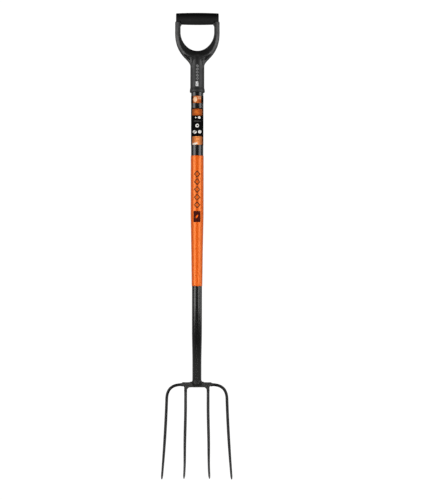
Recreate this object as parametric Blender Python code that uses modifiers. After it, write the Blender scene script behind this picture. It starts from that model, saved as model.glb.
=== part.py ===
"""Four-tine fork with a tapered steel tube shaft and a moulded D handle.

Metres, +Z up, tines down. The origin is on the shaft's axis, level with the tips of the
tines. The front, which the tines curve towards, is -Y.
"""

import math

import bmesh
import bpy
from mathutils import Matrix, Vector

# ---------------------------------------------------------------- driving dimensions
GAP = 0.0003                      # clearance that touching pieces keep
SIDES = 32                        # facets around the shaft's pieces

# Shaft tube: straight from the handle, tapered under the sleeve, cranked back at the neck
TUBE_TOP = 1.140
TUBE_RADIUS = 0.0169
SWAGE_RADIUS = 0.0150
NECK_RADIUS = 0.0138
FOOT_RADIUS = 0.0124
TUBE_WALL = 0.0016
TAPER_TOP = 0.715
TAPER_MIDDLE = 0.620
TAPER_BOTTOM = 0.525
NECK_TAPER_TOP = 0.400
NECK_TAPER_BOTTOM = 0.310
CRANK_TOP = 0.470
CRANK_BOTTOM = 0.387
CRANK_ANGLE = math.radians(7.5)
CRANK_STEPS = 5

# Sleeve and label
SLEEVE_TOP = 0.8811
SLEEVE_BOTTOM = 0.5230
SLEEVE_WALL = 0.0007
LABEL_TOP = 1.0439
LABEL_BOTTOM = 0.9087
LABEL_THICKNESS = 0.0002
LABEL_SEAM = math.radians(8)

# Yoke: a bar across the head, with a seat for the tube and a stub for each inner tine
YOKE_TOP = 0.2551
YOKE_BOTTOM = 0.2420
YOKE_DEPTH = 0.0125
YOKE_HALF_LENGTH = 0.0406
YOKE_EDGE = 0.0010
SEAT_HALF_LENGTH = 0.0175
SEAT_RISE = 0.0020
SEAT_SLOPE = 0.0030
STUB_BOTTOM = 0.2335
INNER_FILLET = 0.0085
OUTER_FILLET = 0.0032

# Tines
TINE_RADIUS = 0.0040
TINE_TIP_RADIUS = 0.0028
TINE_TAPER_START = 0.120
TIP_POINT = 0.0110
INNER_TINE_X = 0.0311
INNER_LEAN = (0.190, 0.080, 0.0017)
INNER_FLARE = (0.050, 0.0020)
INNER_TIP_Z = 0.0015
BEND_SWELL = 0.0003
OUTER_ROOT_X = 0.0444
OUTER_ROOT_Z = 0.2489
SHOULDER_X = 0.0834
SHOULDER_Z = 0.2064
TIP_FORWARD = 0.0445
OUTER_SPLAY = (math.radians(1.8), math.radians(4.5))
WELD_LENGTH = 0.0030

# D handle
GRIP_Z = 1.2566
GRIP_HALF_LENGTH = 0.0586
GRIP_RADIUS = 0.0165
GRIP_END_RADIUS = 0.0151
GRIP_CORNER = 0.0018
CORE_RADIUS = 0.0105
CORE_HALF_LENGTH = 0.0540
ARM_TOP = 1.2483
ARM_OUTER_X = 0.0612
ARM_DEPTH = 0.0240
ARM_EDGE = 0.0045
OPENING_HALF_WIDTH = 0.0461
OPENING_DROP = 0.0515
OPENING_CENTRE_Z = 1.2206
SOCKET_RADIUS = 0.01925
COLLAR_RADIUS = 0.02075
COLLAR_TOP = 1.0668
COLLAR_BOTTOM = 1.0539
STEM_TOP = 1.1680
POCKET_DEPTH = 0.0070

# Handle screws and the plug they bite into
SCREW_HEIGHTS = {"handle_screw_upper": 1.112, "handle_screw_lower": 1.084}
SCREW_SHANK_RADIUS = 0.0018
SCREW_HEAD_RADIUS = 0.0036
SCREW_HEAD_HEIGHT = 0.0022
SCREW_TIP_Y = 0.0020
PLUG_BOTTOM = 1.060

SPIGOT_LENGTH = 0.045

# ---------------------------------------------------------------- scene and helpers
for old in list(bpy.data.objects):
    bpy.data.objects.remove(old, do_unlink=True)

PARTS = bpy.data.collections.new("garden_fork")
CUTTERS = bpy.data.collections.new("cutters")
for group in (PARTS, CUTTERS):
    bpy.context.scene.collection.children.link(group)


def material(name, colour, roughness, metallic=0.0):
    """A Principled material of one colour."""
    made = bpy.data.materials.new(name)
    made.use_nodes = True
    shader = made.node_tree.nodes["Principled BSDF"]
    shader.inputs["Base Color"].default_value = (*colour, 1.0)
    shader.inputs["Roughness"].default_value = roughness
    shader.inputs["Metallic"].default_value = metallic
    return made


BLACK_STEEL = material("black_steel", (0.020, 0.020, 0.019), 0.38, 0.3)
WELD_STEEL = material("weld_steel", (0.030, 0.030, 0.029), 0.50, 0.3)
BARE_STEEL = material("bare_steel", (0.45, 0.45, 0.44), 0.35, 1.0)
ORANGE_PLASTIC = material("orange_plastic", (0.75, 0.11, 0.008), 0.35)
LABEL_FILM = material("label_film", (0.30, 0.07, 0.015), 0.30)
BLACK_PLASTIC = material("black_plastic", (0.022, 0.022, 0.022), 0.50)
SOFT_GRIP = material("soft_grip", (0.012, 0.012, 0.012), 0.70)
PLUG_WOOD = material("plug_wood", (0.45, 0.30, 0.16), 0.80)
ZINC = material("zinc", (0.60, 0.60, 0.58), 0.35, 1.0)


def add(name, data, finish, group=PARTS):
    """Link an object made from mesh or curve data, with its material."""
    item = bpy.data.objects.new(name, data)
    group.objects.link(item)
    if finish is not None:
        data.materials.append(finish)
    if group is CUTTERS:
        item.hide_render = True
        item.display_type = "WIRE"
    return item


def mesh_from(shape, name):
    """Turn a bmesh into mesh data with its faces pointing out."""
    bmesh.ops.recalc_face_normals(shape, faces=shape.faces)
    mesh = bpy.data.meshes.new(name)
    shape.to_mesh(mesh)
    shape.free()
    return mesh


def to_mesh_object(curve_object):
    """Replace a curve object with a mesh object whose caps are welded on."""
    evaluated = curve_object.evaluated_get(bpy.context.evaluated_depsgraph_get())
    mesh = bpy.data.meshes.new_from_object(evaluated)
    shape = bmesh.new()
    shape.from_mesh(mesh)
    bmesh.ops.remove_doubles(shape, verts=shape.verts, dist=0.00001)
    bmesh.ops.recalc_face_normals(shape, faces=shape.faces)
    shape.to_mesh(mesh)
    shape.free()
    name, place = curve_object.name, curve_object.matrix_world.copy()
    group = curve_object.users_collection[0]
    bpy.data.objects.remove(curve_object, do_unlink=True)
    item = add(name, mesh, None, group)
    item.matrix_world = place
    return item


def smooth(item, angle=math.radians(35)):
    """Shade a round piece smooth, with its sharp edges kept."""
    item.data.shade_smooth()
    item.data.set_sharp_from_angle(angle=angle)
    return item


def boolean(item, tool, operation="DIFFERENCE"):
    """Cut an object with another, or join them, by an exact Boolean modifier."""
    cut = item.modifiers.new(tool.name, "BOOLEAN")
    cut.operation = operation
    cut.object = tool
    cut.solver = "EXACT"
    return item


def box(name, low, high, finish=None, group=CUTTERS):
    """A box between two corners."""
    low, high = Vector(low), Vector(high)
    shape = bmesh.new()
    bmesh.ops.create_cube(shape, size=1.0)
    bmesh.ops.scale(shape, vec=high - low, verts=shape.verts)
    bmesh.ops.translate(shape, vec=(low + high) / 2, verts=shape.verts)
    return add(name, mesh_from(shape, name), finish, group)


def rod(name, start, end, radius, finish=None, group=CUTTERS, sides=24):
    """A cylinder between two points."""
    start, end = Vector(start), Vector(end)
    axis = end - start
    turn = axis.to_track_quat("Z", "Y").to_matrix().to_4x4()
    shape = bmesh.new()
    bmesh.ops.create_cone(
        shape, cap_ends=True, segments=sides, radius1=radius, radius2=radius, depth=axis.length,
        matrix=Matrix.Translation((start + end) / 2) @ turn,
    )
    return add(name, mesh_from(shape, name), finish, group)


def turned(name, profile, finish=None, group=PARTS, steps=SIDES, ring=False):
    """A shape turned about Z from (radius, z) points down its outer side, closed for a ring."""
    shape = bmesh.new()
    corners = [shape.verts.new((radius, 0.0, z)) for radius, z in profile]
    following = corners[1:] + corners[:1] if ring else corners[1:]
    for here, there in zip(corners, following):
        shape.edges.new((here, there))
    mesh = bpy.data.meshes.new(name)
    shape.to_mesh(mesh)
    shape.free()
    item = add(name, mesh, finish, group)
    screw = item.modifiers.new("turn", "SCREW")
    screw.steps = screw.render_steps = steps
    screw.use_merge_vertices = True
    screw.merge_threshold = 0.00001
    return item


def tube_curve(name, points, radii, finish=None, group=PARTS, sides=12):
    """A round bar along a path, with its own radius at each point."""
    curve = bpy.data.curves.new(name, "CURVE")
    curve.dimensions = "3D"
    curve.bevel_depth = 1.0
    curve.bevel_resolution = (sides - 4) // 2
    curve.use_fill_caps = True
    spline = curve.splines.new("POLY")
    spline.points.add(len(points) - 1)
    for point, place, radius in zip(spline.points, points, radii):
        point.co = (*place, 1.0)
        point.radius = radius
    return add(name, curve, finish, group)


def plate(name, outline, depth, edge, finish=None, group=PARTS):
    """A plate across Y from a closed outline of (x, z) points, with rounded edges."""
    curve = bpy.data.curves.new(name, "CURVE")
    curve.dimensions = "2D"
    curve.fill_mode = "BOTH"
    curve.extrude = depth / 2 - edge
    curve.bevel_depth = edge
    curve.bevel_resolution = 1 if edge else 0
    curve.offset = -edge
    spline = curve.splines.new("POLY")
    spline.points.add(len(outline) - 1)
    for point, (x, z) in zip(spline.points, outline):
        point.co = (x, z, 0.0, 1.0)
    spline.use_cyclic_u = True
    item = add(name, curve, finish, group)
    item.rotation_euler.x = math.pi / 2
    bpy.context.view_layer.update()
    return item


def arc(centre, radius, start, end, steps):
    """Points on a circle between two angles in degrees, both ends included."""
    angles = [math.radians(start + (end - start) * step / steps) for step in range(steps + 1)]
    return [(centre[0] + radius * math.cos(a), centre[1] + radius * math.sin(a)) for a in angles]


def bezier(start, first, second, end, steps):
    """Points on a cubic curve, without its first point."""
    points = []
    for step in range(1, steps + 1):
        t = step / steps
        weights = ((1 - t) ** 3, 3 * t * (1 - t) ** 2, 3 * t * t * (1 - t), t ** 3)
        corners = (start, first, second, end)
        points.append(tuple(sum(w * c[k] for w, c in zip(weights, corners)) for k in range(2)))
    return points


def mirrored(half):
    """Close a right-hand outline, listed from the top middle to the bottom middle."""
    return half + [(-x, z) for x, z in reversed(half) if x > 0]


def blend(value, low, high):
    """Where a value lies between two limits, from 0 to 1."""
    return min(max((value - low) / (high - low), 0.0), 1.0)


# ---------------------------------------------------------------- shaft
def tube_radius(z):
    """Outer radius of the tube at a height."""
    radius = FOOT_RADIUS + (NECK_RADIUS - FOOT_RADIUS) * blend(z, NECK_TAPER_BOTTOM, NECK_TAPER_TOP)
    radius += (SWAGE_RADIUS - NECK_RADIUS) * blend(z, TAPER_BOTTOM, TAPER_MIDDLE)
    return radius + (TUBE_RADIUS - SWAGE_RADIUS) * blend(z, TAPER_MIDDLE, TAPER_TOP)


def neck_y(z):
    """How far the tube's axis lies behind the shaft's axis at a height."""
    bend_height = CRANK_TOP - CRANK_BOTTOM
    if z >= CRANK_TOP:
        return 0.0
    if z >= CRANK_BOTTOM:
        return math.tan(CRANK_ANGLE) * (CRANK_TOP - z) ** 2 / (2 * bend_height)
    return math.tan(CRANK_ANGLE) * (bend_height / 2 + CRANK_BOTTOM - z)


YOKE_Y = neck_y((YOKE_TOP + YOKE_BOTTOM) / 2)
SEAT_Z = YOKE_TOP + SEAT_RISE
NECK_AXIS = Vector((0.0, -math.sin(CRANK_ANGLE), math.cos(CRANK_ANGLE)))


def above_seat(radius):
    """The lowest point of the tilted neck axis that a disc of this radius may start from."""
    z = SEAT_Z + GAP + radius * math.sin(CRANK_ANGLE)
    return Vector((0.0, neck_y(z), z))


def tube_path(top, foot):
    """Points down the tube's axis, dense only where it bends."""
    bend = [CRANK_TOP + (CRANK_BOTTOM - CRANK_TOP) * step / CRANK_STEPS for step in range(CRANK_STEPS + 1)]
    heights = [top, TAPER_TOP, TAPER_MIDDLE, TAPER_BOTTOM, *bend, NECK_TAPER_BOTTOM, foot]
    return [(0.0, neck_y(z), z) for z in heights]


def shaft_tube():
    """The tapered tube, open at both ends, with holes for the handle's screws."""
    foot = above_seat(FOOT_RADIUS).z
    path = tube_path(TUBE_TOP, foot)
    tube = tube_curve("shaft_tube", path, [tube_radius(p[2]) for p in path], BLACK_STEEL, sides=SIDES)
    tube = to_mesh_object(tube)
    long_path = tube_path(TUBE_TOP + 0.01, foot - 0.01)
    bores = [tube_radius(p[2]) - TUBE_WALL for p in long_path]
    bore = to_mesh_object(tube_curve("tube_bore", long_path, bores, None, CUTTERS, SIDES))
    boolean(smooth(tube), bore)
    for name in SCREW_HEIGHTS:
        boolean(tube, bpy.data.objects[name + "_hole"])


def orange_sleeve():
    """The sleeve follows the tube's taper."""
    heights = [SLEEVE_TOP, TAPER_TOP, TAPER_MIDDLE, TAPER_BOTTOM, SLEEVE_BOTTOM]
    outer = [(tube_radius(z) + GAP + SLEEVE_WALL, z) for z in heights]
    inner = [(tube_radius(z) + GAP, z) for z in reversed(heights)]
    smooth(turned("orange_sleeve", outer + inner, ORANGE_PLASTIC, ring=True))


def shaft_label():
    """A film wrapped around the tube, whose ends nearly meet at the back."""
    middle = (LABEL_TOP + LABEL_BOTTOM) / 2
    seam = math.degrees(LABEL_SEAM) / 2
    inner = TUBE_RADIUS + GAP
    outline = arc((0.0, 0.0), inner + LABEL_THICKNESS, 90 + seam, 450 - seam, SIDES)
    outline += arc((0.0, 0.0), inner, 450 - seam, 90 + seam, SIDES)
    film = plate("shaft_label", outline, LABEL_TOP - LABEL_BOTTOM, 0.0, LABEL_FILM)
    film.rotation_euler.x = 0.0
    film.location.z = middle


def shaft_plug():
    """The dowel in the tube's top, drilled for the screws."""
    radius = TUBE_RADIUS - TUBE_WALL - GAP
    top = TUBE_TOP - 0.002
    plug = rod("shaft_plug", (0, 0, PLUG_BOTTOM), (0, 0, top), radius, PLUG_WOOD, PARTS, SIDES)
    smooth(plug)
    for name in SCREW_HEIGHTS:
        boolean(plug, bpy.data.objects[name + "_hole"])


# ---------------------------------------------------------------- head
def yoke_half():
    """Right half of the yoke's front outline, from the top middle to the bottom middle."""
    stub_out = INNER_TINE_X + TINE_RADIUS
    stub_in = INNER_TINE_X - TINE_RADIUS
    under_outer = OUTER_ROOT_Z - TINE_RADIUS
    top = [(0.0, SEAT_Z), (SEAT_HALF_LENGTH, SEAT_Z), (SEAT_HALF_LENGTH + SEAT_SLOPE, YOKE_TOP)]
    end = [(YOKE_HALF_LENGTH, YOKE_TOP), (YOKE_HALF_LENGTH, under_outer)]
    outer = arc((stub_out + OUTER_FILLET, under_outer - OUTER_FILLET), OUTER_FILLET, 90, 180, 4)
    inner = arc((stub_in - INNER_FILLET, YOKE_BOTTOM - INNER_FILLET), INNER_FILLET, 0, 90, 6)
    stub = [(stub_out, STUB_BOTTOM), (stub_in, STUB_BOTTOM)]
    return top + end + outer + stub + inner[1:] + [(0.0, YOKE_BOTTOM)]


def head_yoke():
    """The bar across the head."""
    yoke = plate("head_yoke", mirrored(yoke_half()), YOKE_DEPTH, YOKE_EDGE, BLACK_STEEL)
    yoke.location.y = YOKE_Y


def neck_spigot():
    """The round spigot on the yoke's seat, inside the tube's foot."""
    radius = FOOT_RADIUS - TUBE_WALL - GAP
    start = above_seat(radius)
    smooth(rod("neck_spigot", start, start + SPIGOT_LENGTH * NECK_AXIS, radius, BARE_STEEL, PARTS))


def tine_y(z):
    """The tines leave the yoke straight down and curve forward to their tips."""
    drop = (OUTER_ROOT_Z - z) / OUTER_ROOT_Z
    return YOKE_Y - (YOKE_Y + TIP_FORWARD) * max(drop, 0.0) ** 2


def outer_x(z):
    """Distance of an outer tine from the middle: its lean grows evenly from the shoulder down."""
    drop = SHOULDER_Z - z
    first, last = (math.tan(angle) for angle in OUTER_SPLAY)
    return SHOULDER_X + first * drop + (last - first) * drop * drop / (2 * SHOULDER_Z)


def inner_x(z):
    """Distance of an inner tine from the middle: it steps out gently, then flares at its tip."""
    start, end, lean = INNER_LEAN
    top, flare = INNER_FLARE
    share = 1 - blend(z, end, start)
    return INNER_TINE_X + lean * share * share * (3 - 2 * share) + flare * (1 - blend(z, 0.0, top)) ** 2


def tine_radius(z, tip_z):
    """The tine tapers towards a blunt rounded point."""
    taper = 1 - blend(z, tip_z, TINE_TAPER_START)
    radius = TINE_RADIUS - (TINE_RADIUS - TINE_TIP_RADIUS) * taper ** 1.4
    point = blend(z, tip_z - 0.0004, tip_z + TIP_POINT)
    return radius * (1 - (1 - point) ** 2.2) ** 0.45


def bend_swell(z):
    """How much thicker an outer tine is around its bend."""
    return BEND_SWELL * blend(z, 0.195, 0.222) * (1 - blend(z, 0.249, OUTER_ROOT_Z))


def no_swell(z):
    """The inner tines have no bend."""
    return 0.0


def leg(top_z, tip_z, distance):
    """Points down the straight part of a tine, close together at its point."""
    heights = [top_z + (tip_z + TIP_POINT - top_z) * step / 12 for step in range(13)]
    heights += [tip_z + TIP_POINT * share for share in (0.6, 0.3, 0.1, 0.0)]
    return [(distance(z), z) for z in heights]


def tine(name, side, path, tip_z, swell):
    """One tine along a front-view path of (x, z) points."""
    points = [(side * x, tine_y(z), z) for x, z in path]
    tube_curve(name, points, [tine_radius(z, tip_z) + swell(z) for x, z in path], BLACK_STEEL)


def outer_path():
    """The outer tine runs out from the yoke, over its shoulder and down."""
    root = (OUTER_ROOT_X, OUTER_ROOT_Z)
    knee = (SHOULDER_X, SHOULDER_Z)
    first = (root[0] + 0.0221, root[1] - 0.0010)
    second = (knee[0] - 0.0003, knee[1] + 0.0318)
    return [root, *bezier(root, first, second, knee, 9), *leg(SHOULDER_Z, 0.0, outer_x)[1:]]


def inner_path():
    """The inner tine runs down from its weld."""
    return leg(STUB_BOTTOM - WELD_LENGTH - 3 * GAP, INNER_TIP_Z, inner_x)


def loft(name, sections, finish, group=PARTS):
    """A closed skin through rings of points, capped at both ends."""
    shape = bmesh.new()
    rings = [[shape.verts.new(point) for point in section] for section in sections]
    for ring, following in zip(rings, rings[1:]):
        for here in range(len(ring)):
            there = (here + 1) % len(ring)
            shape.faces.new((ring[here], ring[there], following[there], following[here]))
    shape.faces.new(rings[0])
    shape.faces.new(rings[-1])
    return add(name, mesh_from(shape, name), finish, group)


def oval(centre, across, along, half_across, half_along, power=2.0, sides=16):
    """A ring of points on a rounded oval, square-cornered as the power grows."""
    ring = []
    for step in range(sides):
        angle = 2 * math.pi * step / sides
        c, s = math.cos(angle), math.sin(angle)
        u = math.copysign(abs(c) ** (2 / power), c) * half_across
        v = math.copysign(abs(s) ** (2 / power), s) * half_along
        ring.append(centre + u * across + v * along)
    return ring


def butt_weld(name, start, direction, across, root, tine_end):
    """Weld metal that narrows from the yoke's section to the tine's round one."""
    y_axis = Vector((0.0, 1.0, 0.0))
    sections = []
    for share in (0.0, 0.35, 0.7, 1.0):
        grow = (1 - share) ** 1.6
        half_across = tine_end + (root[0] - tine_end) * grow
        half_depth = tine_end + (root[1] - tine_end) * grow
        centre = start + direction * WELD_LENGTH * share
        sections.append(oval(centre, across, y_axis, half_across, half_depth, 2.0 + 1.5 * grow))
    smooth(loft(name, sections, WELD_STEEL))


def tines_and_welds():
    """Four tines, each butt-welded to the yoke."""
    right, up = Vector((1.0, 0.0, 0.0)), Vector((0.0, 0.0, 1.0))
    for side, word in ((-1, "left"), (1, "right")):
        tine("tine_outer_" + word, side, outer_path(), 0.0, bend_swell)
        tine("tine_inner_" + word, side, inner_path(), INNER_TIP_Z, no_swell)
        start = Vector((side * (YOKE_HALF_LENGTH + GAP), YOKE_Y, OUTER_ROOT_Z))
        butt_weld("weld_outer_" + word, start, side * right, up, (0.0051, 0.0056), TINE_RADIUS + 0.0002)
        start = Vector((side * INNER_TINE_X, YOKE_Y, STUB_BOTTOM - GAP))
        butt_weld("weld_inner_" + word, start, -up, right, (0.0038, 0.0056), TINE_RADIUS + 0.0001)


def neck_weld():
    """The weld around the tube's foot: a collar above the yoke, a lobe before and behind it."""
    right = Vector((1.0, 0.0, 0.0))
    forward = NECK_AXIS.cross(right)
    profile = (
        (0.2650, 0.0134, 0.0134), (0.2620, 0.0137, 0.0136), (0.2590, 0.0145, 0.0140),
        (0.2560, 0.0158, 0.0144), (0.2530, 0.0163, 0.0144), (0.2475, 0.0140, 0.0128),
    )
    sections = [
        oval(Vector((0.0, neck_y(z), z)), right, forward, half_x, half_y, sides=32)
        for z, half_x, half_y in profile
    ]
    weld = smooth(loft("neck_weld", sections, WELD_STEEL))
    foot = above_seat(FOOT_RADIUS) - 0.003 * NECK_AXIS
    boolean(weld, rod("neck_weld_bore", foot, foot + 0.03 * NECK_AXIS, FOOT_RADIUS + 2 * GAP, sides=SIDES))
    seat, reach = SEAT_HALF_LENGTH + SEAT_SLOPE, YOKE_HALF_LENGTH
    half = [(0.0, SEAT_Z + GAP), (seat, SEAT_Z + GAP), (seat, YOKE_TOP + GAP), (reach, YOKE_TOP + GAP)]
    outline = mirrored(half + [(reach, 0.23), (0.0, 0.23)])
    slot = to_mesh_object(plate("neck_weld_slot", outline, YOKE_DEPTH + 2 * GAP, 0.0, None, CUTTERS))
    slot.location.y = YOKE_Y
    boolean(weld, slot)


# ---------------------------------------------------------------- handle
def handle_half():
    """Right half of the frame's front outline, from the saddle up the arm and down its outside."""
    quarter = arc((0.0, 0.0), 1.0, 270, 360, 12)
    saddle = [(OPENING_HALF_WIDTH * c, OPENING_CENTRE_Z + OPENING_DROP * s) for c, s in quarter]
    arm_top = [(OPENING_HALF_WIDTH, ARM_TOP), (ARM_OUTER_X - 0.0008, ARM_TOP)]
    knee = (ARM_OUTER_X, ARM_TOP - 0.032)
    flank = (0.0348, 1.1493)
    side = bezier(knee, (ARM_OUTER_X, 1.1880), (0.0525, 1.1675), flank, 8)
    tucked = SOCKET_RADIUS - 0.0008
    waist = bezier(flank, (0.0275, 1.1418), (SOCKET_RADIUS, 1.1355), (tucked, 1.1240), 6)
    foot = [(0.0140, 1.1190), (0.0, 1.1190)]
    return saddle + arm_top + [knee] + side + waist + foot


def socket():
    """The socket, its collar and the round stem above it."""
    profile = [
        (0.0, STEM_TOP), (0.0095, STEM_TOP - 0.0015), (0.0155, STEM_TOP - 0.0070),
        (SOCKET_RADIUS, STEM_TOP - 0.0220), (SOCKET_RADIUS, COLLAR_TOP),
        (COLLAR_RADIUS, COLLAR_TOP - 0.0060), (COLLAR_RADIUS, COLLAR_BOTTOM + 0.0008),
        (COLLAR_RADIUS - 0.0008, COLLAR_BOTTOM), (0.0, COLLAR_BOTTOM),
    ]
    return turned("socket", profile, None, CUTTERS)


def pocket(name, side, front):
    """A triangular hollow between the stem and the rim of the frame."""
    corners = [(0.0350, 1.1560), (0.0195, 1.1525), (0.0195, 1.1400), (0.0220, 1.1410)]
    outline = [(side * x, z) for x, z in corners]
    cutter = to_mesh_object(plate(name, outline, 0.020, 0.0, None, CUTTERS))
    middle = ARM_DEPTH / 2 - POCKET_DEPTH + 0.010
    cutter.location.y = -middle if front else middle
    return cutter


def d_handle():
    """The moulded frame: arms, saddle, stem, socket and the crossbar's core in one piece."""
    half = handle_half()
    outline = half + [(-x, z) for x, z in reversed(half) if x > 0.00001]
    frame = to_mesh_object(plate("d_handle", outline, ARM_DEPTH, ARM_EDGE, None))
    frame.data.materials.append(BLACK_PLASTIC)
    boolean(frame, socket(), "UNION")
    core_ends = [(-CORE_HALF_LENGTH, 0, GRIP_Z), (CORE_HALF_LENGTH, 0, GRIP_Z)]
    boolean(frame, rod("crossbar_core", *core_ends, CORE_RADIUS), "UNION")
    for side, word in ((-1, "left"), (1, "right")):
        boolean(frame, pocket("pocket_front_" + word, side, True))
        boolean(frame, pocket("pocket_back_" + word, side, False))
    bore_ends = [(0, 0, COLLAR_BOTTOM - 0.01), (0, 0, TUBE_TOP + GAP)]
    boolean(frame, rod("socket_bore", *bore_ends, TUBE_RADIUS + GAP, sides=SIDES))
    for name in SCREW_HEIGHTS:
        boolean(frame, bpy.data.objects[name + "_hole"])


def grip_overmould():
    """The soft grip: a barrel along X, hollow for the core, open below for the arms."""
    points = []
    for step in range(13):
        x = GRIP_HALF_LENGTH * (1 - step / 6)
        radius = GRIP_RADIUS - (GRIP_RADIUS - GRIP_END_RADIUS) * (x / GRIP_HALF_LENGTH) ** 2
        points.append((radius, x))
    end, corner = GRIP_HALF_LENGTH, GRIP_CORNER
    barrel = [(0.0, end), (GRIP_END_RADIUS - corner, end), (GRIP_END_RADIUS, end - corner)]
    barrel += points[1:-1]
    barrel += [(GRIP_END_RADIUS, corner - end), (GRIP_END_RADIUS - corner, -end), (0.0, -end)]
    grip = turned("grip_overmould", barrel, SOFT_GRIP, steps=24)
    grip.rotation_euler.y = math.pi / 2
    grip.location.z = GRIP_Z
    reach = CORE_HALF_LENGTH + GAP
    boolean(grip, rod("grip_bore", (-reach, 0, GRIP_Z), (reach, 0, GRIP_Z), CORE_RADIUS + GAP))
    low = OPENING_HALF_WIDTH - GAP
    for side, word in ((-1, "left"), (1, "right")):
        ends = sorted((side * low, side * 0.07))
        boolean(grip, box("grip_arm_" + word, (ends[0], -0.02, 1.22), (ends[1], 0.02, ARM_TOP + GAP)))


def screw_holes():
    """Cutters for the holes that the handle's screws pass through."""
    for name, z in SCREW_HEIGHTS.items():
        start, end = (0, SCREW_TIP_Y - GAP, z), (0, COLLAR_RADIUS + 0.01, z)
        rod(name + "_hole", start, end, SCREW_SHANK_RADIUS + GAP, sides=12)


def handle_screw(name, z):
    """A pan-head screw that enters the socket from the back."""
    seat = SOCKET_RADIUS + GAP
    profile = [
        (0.0, seat + SCREW_HEAD_HEIGHT), (SCREW_HEAD_RADIUS * 0.6, seat + SCREW_HEAD_HEIGHT),
        (SCREW_HEAD_RADIUS, seat + SCREW_HEAD_HEIGHT * 0.5), (SCREW_HEAD_RADIUS, seat),
        (SCREW_SHANK_RADIUS, seat), (SCREW_SHANK_RADIUS, SCREW_TIP_Y + 0.003), (0.0, SCREW_TIP_Y),
    ]
    item = turned(name, profile, ZINC, steps=16)
    item.rotation_euler.x = -math.pi / 2
    item.location.z = z


screw_holes()
shaft_tube()
orange_sleeve()
shaft_label()
shaft_plug()
head_yoke()
neck_spigot()
tines_and_welds()
neck_weld()
d_handle()
grip_overmould()
for screw_name, height in SCREW_HEIGHTS.items():
    handle_screw(screw_name, height)
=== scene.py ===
"""Looks of the four-tine fork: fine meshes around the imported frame, their finishes, and a studio.

Metres, +Z up, front at -Y, as in the CAD model.
"""
import math

import bmesh
import bpy
import numpy as np
from mathutils import Matrix, Vector, noise


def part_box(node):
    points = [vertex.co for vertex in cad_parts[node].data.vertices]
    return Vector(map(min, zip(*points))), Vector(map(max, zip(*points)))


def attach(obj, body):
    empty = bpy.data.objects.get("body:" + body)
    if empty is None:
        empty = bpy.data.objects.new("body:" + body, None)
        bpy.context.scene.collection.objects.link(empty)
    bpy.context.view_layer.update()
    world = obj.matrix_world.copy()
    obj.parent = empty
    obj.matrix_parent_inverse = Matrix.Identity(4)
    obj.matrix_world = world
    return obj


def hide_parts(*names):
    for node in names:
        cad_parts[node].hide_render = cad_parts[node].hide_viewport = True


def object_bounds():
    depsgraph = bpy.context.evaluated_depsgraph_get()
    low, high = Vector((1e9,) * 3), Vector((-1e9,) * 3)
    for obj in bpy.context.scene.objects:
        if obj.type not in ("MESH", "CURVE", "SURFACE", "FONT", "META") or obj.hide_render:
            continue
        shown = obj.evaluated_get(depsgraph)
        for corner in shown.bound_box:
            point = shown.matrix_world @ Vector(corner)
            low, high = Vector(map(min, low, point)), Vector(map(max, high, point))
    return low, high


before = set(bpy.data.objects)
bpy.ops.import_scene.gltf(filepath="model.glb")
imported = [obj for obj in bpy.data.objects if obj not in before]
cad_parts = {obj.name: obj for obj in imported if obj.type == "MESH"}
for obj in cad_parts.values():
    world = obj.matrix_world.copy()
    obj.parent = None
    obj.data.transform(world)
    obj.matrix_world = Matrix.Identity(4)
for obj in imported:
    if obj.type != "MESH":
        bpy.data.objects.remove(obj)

cad_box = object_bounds()
X_AXIS, Y_AXIS, Z_AXIS = Vector((1, 0, 0)), Vector((0, 1, 0)), Vector((0, 0, 1))

# ------------------------ sizes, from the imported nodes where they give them
handle_low, handle_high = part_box("d_handle")
grip_low, grip_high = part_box("grip_overmould")
sleeve_low, sleeve_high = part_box("orange_sleeve")
label_low, label_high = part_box("shaft_label")
tube_low, tube_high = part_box("shaft_tube")
yoke_low, yoke_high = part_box("head_yoke")

GAP = 0.0003  # clearance between two pieces
TUBE_TOP = tube_high[2]
TUBE_RADIUS = tube_high[0]
TUBE_WALL = 0.0016
TUBE_FOOT = tube_low[2] + 0.0015  # inside the neck weld
SWAGE_RADIUS = 0.0150
NECK_RADIUS = 0.0138
FOOT_RADIUS = 0.0125
TAPER_TOP, TAPER_MIDDLE, TAPER_BOTTOM = 0.715, 0.620, 0.525
NECK_TAPER_TOP, NECK_TAPER_BOTTOM = 0.400, 0.310
CRANK_TOP, CRANK_BOTTOM = 0.470, 0.387
CRANK_ANGLE = math.radians(7.5)

SLEEVE_OFFSET = 0.0009  # how far its outside stands off the tube
SLEEVE_LIP = 0.0005  # radius of the rounded ends
SLEEVE_TRIM = 0.0008  # how far the sleeve stops under its CAD solid's top
SLEEVE_DIAMONDS = (0.7345, 0.8400)  # heights of the column of diamonds
EMBLEM_LEFT, EMBLEM_RIGHT = -0.0099, 0.0092  # the dark block under the diamonds
EMBLEM_BOTTOM, EMBLEM_TOP = 0.6980, 0.7285
ORANGE = ((0.84, 0.118, 0.0060), (0.88, 0.128, 0.0070))  # the two tones that it drifts between
FILM_INNER, FILM_OUTER = TUBE_RADIUS + 0.0001, TUBE_RADIUS + 0.00025
FILM_SEAM = math.radians(4)  # half of the gap at the back
PANEL_BOTTOM, PANEL_TOP = 0.9097, 1.0103  # printed areas of the label
BLOCK_BOTTOM, BLOCK_TOP = 1.0236, 1.0434

SEAT_RISE = 0.0020
YOKE_TOP = yoke_high[2] - SEAT_RISE
YOKE_BOTTOM = 0.2420
YOKE_Y = (yoke_low[1] + yoke_high[1]) / 2
YOKE_DEPTH = yoke_high[1] - yoke_low[1]
YOKE_HALF_LENGTH = yoke_high[0]
STUB_BOTTOM = yoke_low[2]

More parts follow.
